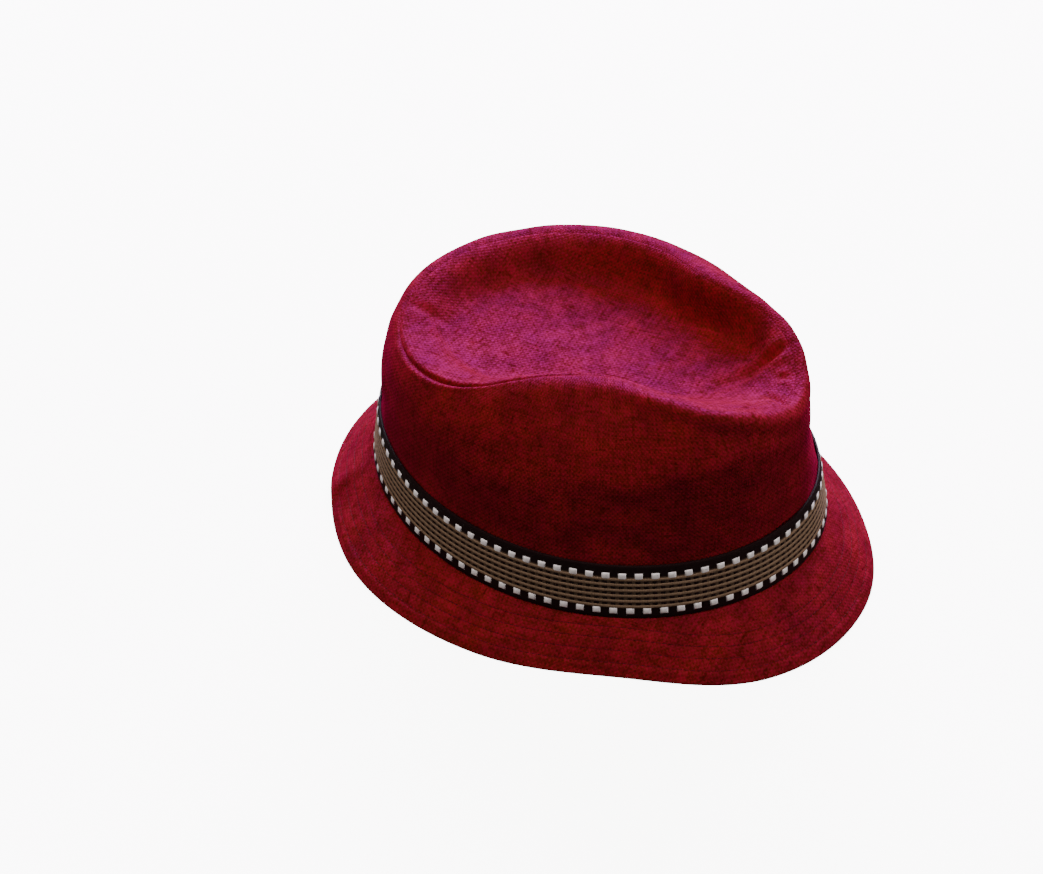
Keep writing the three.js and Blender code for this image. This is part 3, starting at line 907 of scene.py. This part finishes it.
class HAT_OT_ribbon(bpy.types.Operator):
    """Wraps the patterned ribbon round the crown's foot"""

    bl_idname = "hat.ribbon"
    bl_label = "Ribbon"

    def execute(self, context):
        sizes, colours = context.scene.hat_sizes, context.scene.hat_colours
        turns = even_turns(CROWN_SECTIONS)
        run, perimeter = run_round(turns)
        dark, light, tan = colours.ribbon_dark[:], colours.ribbon_light[:], colours.ribbon_tan[:]
        ground = ribbon_weave("ribbon_ground", dark, linear("#221416"), 0.55)
        middle = ribbon_weave("ribbon_middle", linear("#46382F"), linear("#625044"), 0.6)
        ribs = ribbon_weave("ribbon_tan_ribs", linear("#6E5A4A"), tan, 0.7)
        squares = ribbon_weave("ribbon_light_squares", linear("#E4E0E8"), light, 0.9)

        # The face sinks at its rounded edges, and the back is plain
        top = RIBBON_HEIGHT
        heights = np.concatenate([[0, 0.15], np.linspace(0.5, top - 0.5, 22), [top - 0.15, top]])
        sink = np.array([0.5, 0.15] + [0] * 22 + [0.15, 0.5])
        outer = [ribbon_face(turns, h, -s)[0] for h, s in zip(heights, sink)]
        back = (top, top / 2, 0)
        inner = [ribbon_face(turns, h, -RIBBON_THICKNESS)[0] for h in back]
        runs = np.concatenate([heights, back])
        uv = np.stack(np.meshgrid(run, runs), -1)
        base = ring_mesh("ribbon_band", np.array(outer + inner), uv, True, perimeter)
        base.data.materials.append(ground)
        base.data.materials.append(middle)
        low = RIB_LOW - RIB_WIDTH / 2
        high = RIB_LOW + RIB_SPACING * (RIB_COUNT - 1) + RIB_WIDTH / 2
        centres = 0.5 * (heights[1:] + heights[:-1])
        for row, centre in enumerate(centres):
            if low < centre < high:
                for k in range(len(turns)):
                    base.data.polygons[row * len(turns) + k].material_index = 1
        ride_as(base, "hat_band")

        strands = []
        for i in range(RIB_COUNT):
            h = RIB_LOW + RIB_SPACING * i
            rings = [ribbon_face(turns, h + RIB_WIDTH * side, lift)[0] for side, lift in RIB_SECTION]
            uv = np.stack(np.meshgrid(run, [RIB_WIDTH * side for side, _ in RIB_SECTION]), -1)
            strand = ring_mesh(f"rib_{i}", rings, uv, True, perimeter)
            strand.data.materials.append(ribs)
            strands.append(strand)
        context.view_layer.update()
        with context.temp_override(active_object=strands[0], selected_editable_objects=strands):
            bpy.ops.object.join()
        tan_ribs = strands[0]
        tan_ribs.name = "ribbon_ribs"
        ride_as(tan_ribs)

        count = round(perimeter / (sizes.square_pitch / MM))
        square = pad_shape("square_pad", 7, 7, 4)
        dash = pad_shape("dash_pad", 4, 4, 4)
        # The upper row of squares starts half a step further round than the lower
        half_step = 180.0 / count
        low_row = ribbon_face(turns, LOW_SQUARES, STAND_OFF)
        high_row = ribbon_face(turns + half_step, HIGH_SQUARES, STAND_OFF)
        pads = laid_along(
            "ribbon_squares", [low_row, high_row], square, squares, count,
            (SQUARE_WIDTH * MM, SQUARE_HEIGHT * MM, SQUARE_THICKNESS * MM), PATTERN_UNEVENNESS,
        )
        ride_as(pads)
        between = [RIB_LOW + RIB_SPACING * (i + 0.5) for i in range(RIB_COUNT - 1)]
        dashes = laid_along(
            "ribbon_dashes", [ribbon_face(turns, h, STAND_OFF) for h in between], dash, ground,
            2 * count, (DASH_LENGTH * MM, DASH_HEIGHT * MM, DASH_THICKNESS * MM), PATTERN_UNEVENNESS,
        )
        ride_as(dashes)
        for shape in (square, dash):
            bpy.data.objects.remove(shape)
        return {"FINISHED"}


# One stitch of the brim: the share of its step that shows, its width and height in millimetres, and
# the most it is turned, in radians
STITCH_SHOWN = 0.8
STITCH_WIDTH = 0.34
STITCH_HEIGHT = 0.2
STITCH_UNEVENNESS = 0.06


class HAT_OT_topstitching(bpy.types.Operator):
    """Lays the rows of topstitching round the brim"""

    bl_idname = "hat.topstitching"
    bl_label = "Topstitching"

    def execute(self, context):
        sizes = context.scene.hat_sizes
        turns = even_turns(BRIM_SECTIONS)
        stitch = pad_shape("stitch_shape", 6, 4, 2)
        paths = []
        for inset in stitch_insets():
            points, normals = brim_face(turns, np.full(len(turns), inset))
            paths.append((points + normals * STAND_OFF, normals))
        ring = paths[0][0]
        length = np.linalg.norm(np.roll(ring, -1, axis=0) - ring, axis=-1).sum()
        stitch_length = sizes.stitch_length / MM
        rows = laid_along(
            "brim_stitches", paths, stitch, thread_finish(), round(length / stitch_length),
            (STITCH_SHOWN * sizes.stitch_length, STITCH_WIDTH * MM, STITCH_HEIGHT * MM),
            STITCH_UNEVENNESS,
        )
        ride_as(rows)
        bpy.data.objects.remove(stitch)
        return {"FINISHED"}


# The view of the photograph: 1043 by 874 pixels, with the middle of the crown's foot at this pixel
PHOTO_WIDTH, PHOTO_HEIGHT = 1043.0, 874.0
FOOT_PIXEL = (597.7, 474.4)
FOCAL_PIXELS = 2238.0
SENSOR_WIDTH = 36.0
VIEW_AZIMUTH = -62.0
VIEW_ELEVATION = 41.475
VIEW_ROLL = 1.667
VIEW_DISTANCE = 1.0
FLOOR_HALF = 6.0
FLOOR_GLOW = 8.0
WORLD_GLOW = 0.13

# Soft lights round the hat, all at one distance in metres. The main one stands opposite the camera,
# and only that one shows in the gloss.
LIGHT_DISTANCE = 2.2
LIGHT_COLUMNS = ("name", "azimuth", "elevation", "width", "height", "watts", "colour", "in_gloss")
LIGHT_ROWS = (
    ("window_light", 118, 29, 2.0, 0.9, 188, "#F2E0FF", True),
    ("fill_light", -62, 84, 1.2, 1.2, 48, "#FFF3EA", False),
    ("front_fill", 20, 18, 1.2, 1.2, 21, "#FFF3EA", False),
    ("back_fill", -146, 18, 1.2, 1.2, 14, "#FFF3EA", False),
)


def direction(azimuth, elevation):
    """Unit vector from the hat towards a place that is seen from this azimuth and elevation."""
    a, e = math.radians(azimuth), math.radians(elevation)
    return Vector((math.sin(a) * math.cos(e), -math.cos(a) * math.cos(e), math.sin(e)))


def soft_light(name, azimuth, elevation, width, height, watts, colour, in_gloss):
    """A softbox turned towards the hat."""
    lamp = bpy.data.lights.new(name, "AREA")
    lamp.shape = "RECTANGLE"
    lamp.size, lamp.size_y = width, height
    lamp.energy = watts
    lamp.color = linear(colour)[:3]
    holder = bpy.data.objects.new(name, lamp)
    bpy.context.collection.objects.link(holder)
    away = direction(azimuth, elevation)
    holder.location = Vector((0, 0, 0.06)) + away * LIGHT_DISTANCE
    holder.rotation_euler = away.to_track_quat("Z", "Y").to_euler()
    holder.visible_glossy = in_gloss


class HAT_OT_stage(bpy.types.Operator):
    """Sets the pale floor, the soft lights and the camera"""

    bl_idname = "hat.stage"
    bl_label = "Stage"

    def execute(self, context):
        scene = context.scene
        foot_middle = Vector((0, FOOT_BEHIND * MM, FOOT_RISE * MM))
        back = direction(VIEW_AZIMUTH, VIEW_ELEVATION)
        azimuth = math.radians(VIEW_AZIMUTH)
        level = Vector((math.cos(azimuth), math.sin(azimuth), 0))
        upright = back.cross(level)
        roll = math.radians(VIEW_ROLL)
        right = level * math.cos(roll) + upright * math.sin(roll)
        up = back.cross(right)
        lens = bpy.data.cameras.new("camera")
        lens.sensor_width = SENSOR_WIDTH
        lens.lens = FOCAL_PIXELS / PHOTO_WIDTH * SENSOR_WIDTH
        lens.shift_x = -(FOOT_PIXEL[0] - PHOTO_WIDTH / 2) / PHOTO_WIDTH
        lens.shift_y = (FOOT_PIXEL[1] - PHOTO_HEIGHT / 2) / PHOTO_WIDTH
        lens.clip_start, lens.clip_end = 0.01, 50
        camera = bpy.data.objects.new("camera", lens)
        context.collection.objects.link(camera)
        camera.matrix_world = Matrix((
            (right.x, up.x, back.x, foot_middle.x + back.x * VIEW_DISTANCE),
            (right.y, up.y, back.y, foot_middle.y + back.y * VIEW_DISTANCE),
            (right.z, up.z, back.z, foot_middle.z + back.z * VIEW_DISTANCE),
            (0, 0, 0, 1),
        ))
        scene.camera = camera

        mesh = bpy.data.meshes.new("floor")
        corners = [(x * FLOOR_HALF, y * FLOOR_HALF, 0) for x, y in ((-1, -1), (1, -1), (1, 1), (-1, 1))]
        mesh.from_pydata(corners, [], [(0, 1, 2, 3)])
        floor = bpy.data.objects.new("floor", mesh)
        context.collection.objects.link(floor)
        # Matt background paper, lit through so that it shows white, with a faint grain
        material, tree, output = new_material("matt_paper_floor")
        grain = add(tree, "ShaderNodeTexNoise", {"Scale": 60.0, "Detail": 2.0}).outputs["Fac"]
        pale = scene.hat_colours.floor[:]
        shade = add(tree, "ShaderNodeMix", {
            "Factor": grain, 6: pale, 7: linear("#EFEFEE"),
        }, data_type="RGBA").outputs[2]
        paper = add(tree, "ShaderNodeBsdfPrincipled", {
            "Base Color": shade, "Roughness": 0.9, "Specular IOR Level": 0.1,
            "Emission Color": (1.0, 1.0, 1.0, 1.0), "Emission Strength": FLOOR_GLOW,
        })
        tree.links.new(paper.outputs[0], output.inputs["Surface"])
        mesh.materials.append(material)
        # The floor's own light stays off the hat
        floor.visible_diffuse = False
        floor.visible_glossy = False

        for row in LIGHT_ROWS:
            soft_light(**dict(zip(LIGHT_COLUMNS, row)))
        world = bpy.data.worlds.new("studio")
        scene.world = world
        world.use_nodes = True
        world.node_tree.nodes.clear()
        glow = add(world.node_tree, "ShaderNodeBackground", {
            "Color": linear("#FFFAEC"), "Strength": WORLD_GLOW,
        })
        sky = world.node_tree.nodes.new("ShaderNodeOutputWorld")
        world.node_tree.links.new(glow.outputs[0], sky.inputs[0])
        return {"FINISHED"}


STEPS = (HAT_OT_crown, HAT_OT_brim, HAT_OT_ribbon, HAT_OT_topstitching, HAT_OT_stage)


class HAT_PT_panel(bpy.types.Panel):
    """Sizes, colours and steps of the hat"""

    bl_label = "Cloth trilby"
    bl_idname = "HAT_PT_panel"
    bl_space_type = "VIEW_3D"
    bl_region_type = "UI"
    bl_category = "Hat"

    def draw(self, context):
        for group in (context.scene.hat_sizes, context.scene.hat_colours):
            for name in group.bl_rna.properties.keys():
                if name not in ("rna_type", "name"):
                    self.layout.prop(group, name)
        for step in STEPS:
            self.layout.operator(step.bl_idname)


CLASSES = (HatSizes, HatColours, *STEPS, HAT_PT_panel)


def register():
    for made in CLASSES:
        bpy.utils.register_class(made)
    bpy.types.Scene.hat_sizes = PointerProperty(type=HatSizes)
    bpy.types.Scene.hat_colours = PointerProperty(type=HatColours)


def unregister():
    del bpy.types.Scene.hat_colours
    del bpy.types.Scene.hat_sizes
    for made in reversed(CLASSES):
        bpy.utils.unregister_class(made)


def main():
    register()
    bpy.ops.hat.crown()
    bpy.ops.hat.brim()
    bpy.ops.hat.ribbon()
    bpy.ops.hat.topstitching()
    bpy.ops.hat.stage()


if __name__ == "__main__":
    main()
